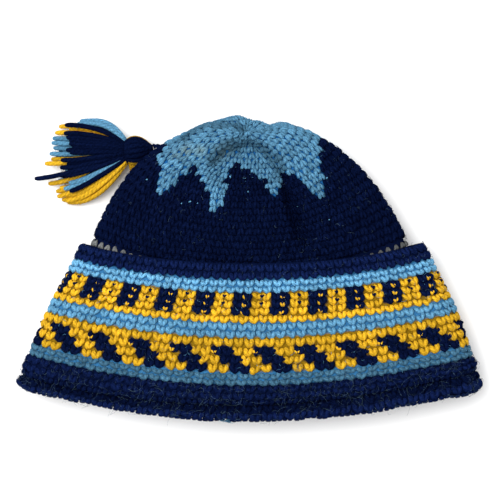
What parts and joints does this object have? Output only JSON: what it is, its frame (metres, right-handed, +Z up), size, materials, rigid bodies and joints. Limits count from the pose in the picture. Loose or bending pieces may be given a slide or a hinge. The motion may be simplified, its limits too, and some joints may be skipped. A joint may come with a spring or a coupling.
{
  "type": "beanie",
  "caption": "Crocheted wool beanie with a turned-up patterned cuff and a yarn tassel, lying flat on its back",
  "frame": {"origin": "On the surface the hat lies on, under the middle of its overall box", "axes": "X across the hat, +Y from the hem towards the top of the crown, +Z up from the surface, out of the front of the hat"},
  "size_m": [0.2989, 0.1961, 0.0474],
  "materials": {
    "navy_yarn": "matte wool yarn",
    "light_blue_yarn": "matte wool yarn",
    "yellow_yarn": "matte wool yarn",
    "grey_yarn": "matte wool yarn"
  },
  "bodies": {
    "root": {"crown": "navy_yarn", "cuff": "navy_yarn", "tassel": "navy_yarn", "tassel_binding": "navy_yarn", "tassel_cord": "navy_yarn"}
  },
  "joints": []
}
